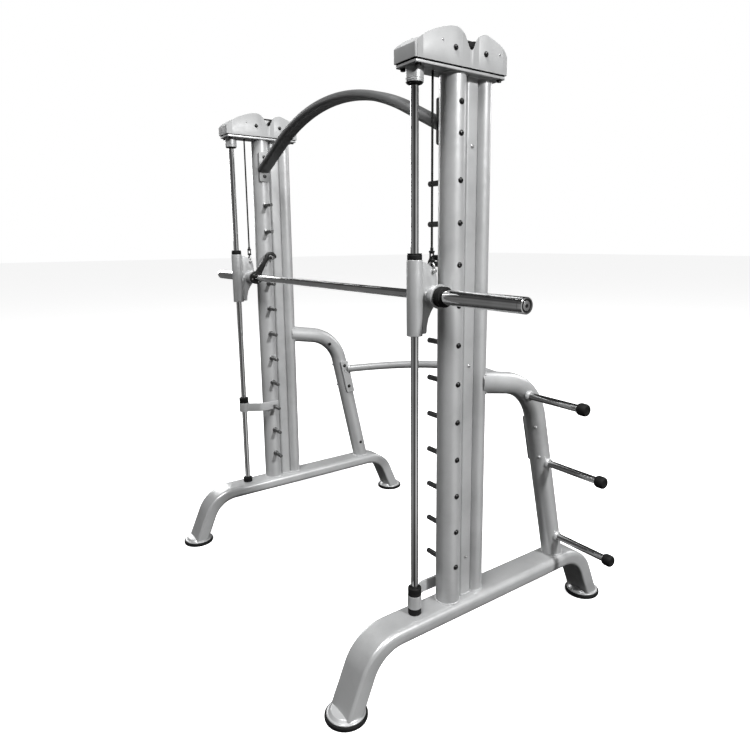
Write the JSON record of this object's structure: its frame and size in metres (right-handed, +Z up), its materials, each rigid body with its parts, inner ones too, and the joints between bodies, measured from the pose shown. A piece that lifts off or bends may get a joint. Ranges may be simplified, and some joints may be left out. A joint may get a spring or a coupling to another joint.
{
  "type": "smith machine",
  "caption": "Guided barbell machine with counterbalanced carriage, catch pegs, safety stops, arched pull-up bar and plate storage horns.",
  "frame": {"origin": "centre of the bounding box at floor level, midway between the two side frames", "axes": "+X along the lifting bar to the machine's plate-storage side, +Y to the rear, +Z up; the lifter faces the columns from -Y"},
  "size_m": [2.233, 1.3416, 2.118],
  "materials": {
    "satin_silver_paint": "satin silver-grey powder coat",
    "light_grey_cover": "light grey powder-coated sheet",
    "dark_grey_paint": "dark grey powder coat",
    "bright_chrome": "polished chrome",
    "zinc_plated_steel": "zinc plated",
    "black_rubber": "matt",
    "black_nylon": "moulded nylon, and the coat on the steel cables",
    "grey_cast_iron": "as cast"
  },
  "bodies": {
    "frame": {"base_left": "satin_silver_paint", "column_front_tube_left": "satin_silver_paint", "column_spacer_tube_left": "satin_silver_paint", "column_rear_tube_left": "satin_silver_paint", "rear_brace_left": "satin_silver_paint", "head_plate_left": "satin_silver_paint", "head_shroud_left": "light_grey_cover", "guide_rod_left": "bright_chrome", "catch_pegs_left": "bright_chrome", "cable_head_left": "black_nylon", "cable_front_left": "black_nylon", "cable_rear_left": "black_nylon", "foot_pad_front_left": "black_rubber", "foot_pad_rear_left": "black_rubber", "rod_bumper_left": "black_rubber", "base_right": "satin_silver_paint", "column_front_tube_right": "satin_silver_paint", "column_spacer_tube_right": "satin_silver_paint", "column_rear_tube_right": "satin_silver_paint", "rear_brace_right": "satin_silver_paint", "head_plate_right": "satin_silver_paint", "head_shroud_right": "light_grey_cover", "guide_rod_right": "bright_chrome", "catch_pegs_right": "bright_chrome", "cable_head_right": "black_nylon", "cable_front_right": "black_nylon", "cable_rear_right": "black_nylon", "foot_pad_front_right": "black_rubber", "foot_pad_rear_right": "black_rubber", "rod_bumper_right": "black_rubber", "storage_horn_1": "bright_chrome", "storage_horn_cap_1": "black_rubber", "storage_horn_2": "bright_chrome", "storage_horn_cap_2": "black_rubber", "storage_horn_3": "bright_chrome", "storage_horn_cap_3": "black_rubber", "rear_crossbar": "satin_silver_paint", "pull_up_bar": "dark_grey_paint"},
    "counterweight_left": {"counterweight_left": "grey_cast_iron"},
    "pulley_front_left": {"pulley_front_left": "black_nylon"},
    "pulley_rear_left": {"pulley_rear_left": "black_nylon"},
    "stop_slider_left": {"stop_bumper_left": "black_rubber"},
    "stop_arm_left": {"safety_stop_left": "satin_silver_paint"},
    "counterweight_right": {"counterweight_right": "grey_cast_iron"},
    "pulley_front_right": {"pulley_front_right": "black_nylon"},
    "pulley_rear_right": {"pulley_rear_right": "black_nylon"},
    "stop_slider_right": {"stop_bumper_right": "black_rubber"},
    "stop_arm_right": {"safety_stop_right": "satin_silver_paint"},
    "lift": {"carriage_left": "satin_silver_paint", "carriage_seal_left": "black_rubber", "cable_clevis_left": "zinc_plated_steel", "carriage_right": "satin_silver_paint", "carriage_seal_right": "black_rubber", "cable_clevis_right": "zinc_plated_steel"},
    "bar": {"lifting_bar": "bright_chrome", "bar_hook_left": "zinc_plated_steel", "sleeve_collar_left": "black_rubber", "bar_hook_right": "zinc_plated_steel", "sleeve_collar_right": "black_rubber"}
  },
  "joints": [
    {"name": "bar_lift", "type": "slide", "parent": "frame", "child": "lift", "axis": [0, 0, 1], "range_m": [-0.384, 0.263], "deforming": ["cable_front_left", "cable_front_right"]},
    {"name": "bar_turn", "type": "hinge", "parent": "lift", "child": "bar", "pos_m": [0, -0.2562, 1.3326], "axis": [1, 0, 0], "range_deg": [0, 60]},
    {"name": "counterweight_left", "type": "slide", "parent": "frame", "child": "counterweight_left", "axis": [0, 0, 1], "range_m": [-0.263, 0.384], "deforming": ["cable_rear_left"]},
    {"name": "pulley_front_left_spin", "type": "hinge", "parent": "frame", "child": "pulley_front_left", "pos_m": [-0.72, -0.21, 2.06], "axis": [1, 0, 0], "range_deg": [-345, 505]},
    {"name": "pulley_rear_left_spin", "type": "hinge", "parent": "frame", "child": "pulley_rear_left", "pos_m": [-0.72, -0.0875, 2.06], "axis": [1, 0, 0], "range_deg": [-345, 505]},
    {"name": "stop_height_left", "type": "slide", "parent": "frame", "child": "stop_slider_left", "axis": [0, 0, 1], "range_m": [-0.3604, 0]},
    {"name": "stop_swing_left", "type": "hinge", "parent": "stop_slider_left", "child": "stop_arm_left", "pos_m": [-0.72, -0.322, 0.64], "axis": [0, 0, -1], "range_deg": [0, 70]},
    {"name": "counterweight_right", "type": "slide", "parent": "frame", "child": "counterweight_right", "axis": [0, 0, 1], "range_m": [-0.263, 0.384], "deforming": ["cable_rear_right"]},
    {"name": "pulley_front_right_spin", "type": "hinge", "parent": "frame", "child": "pulley_front_right", "pos_m": [0.72, -0.21, 2.06], "axis": [1, 0, 0], "range_deg": [-345, 505]},
    {"name": "pulley_rear_right_spin", "type": "hinge", "parent": "frame", "child": "pulley_rear_right", "pos_m": [0.72, -0.0875, 2.06], "axis": [1, 0, 0], "range_deg": [-345, 505]},
    {"name": "stop_height_right", "type": "slide", "parent": "frame", "child": "stop_slider_right", "axis": [0, 0, 1], "range_m": [0, 0.3604]},
    {"name": "stop_swing_right", "type": "hinge", "parent": "stop_slider_right", "child": "stop_arm_right", "pos_m": [0.72, -0.322, 0.2796], "axis": [0, 0, 1], "range_deg": [0, 70]}
  ],
  "couplings": [
    {"joint": "counterweight_left", "follows": "bar_lift", "ratio": -1},
    {"joint": "pulley_front_left_spin", "follows": "bar_lift", "rad_per_m": -22.727},
    {"joint": "pulley_rear_left_spin", "follows": "bar_lift", "rad_per_m": -22.727},
    {"joint": "counterweight_right", "follows": "bar_lift", "ratio": -1},
    {"joint": "pulley_front_right_spin", "follows": "bar_lift", "rad_per_m": -22.727},
    {"joint": "pulley_rear_right_spin", "follows": "bar_lift", "rad_per_m": -22.727}
  ]
}
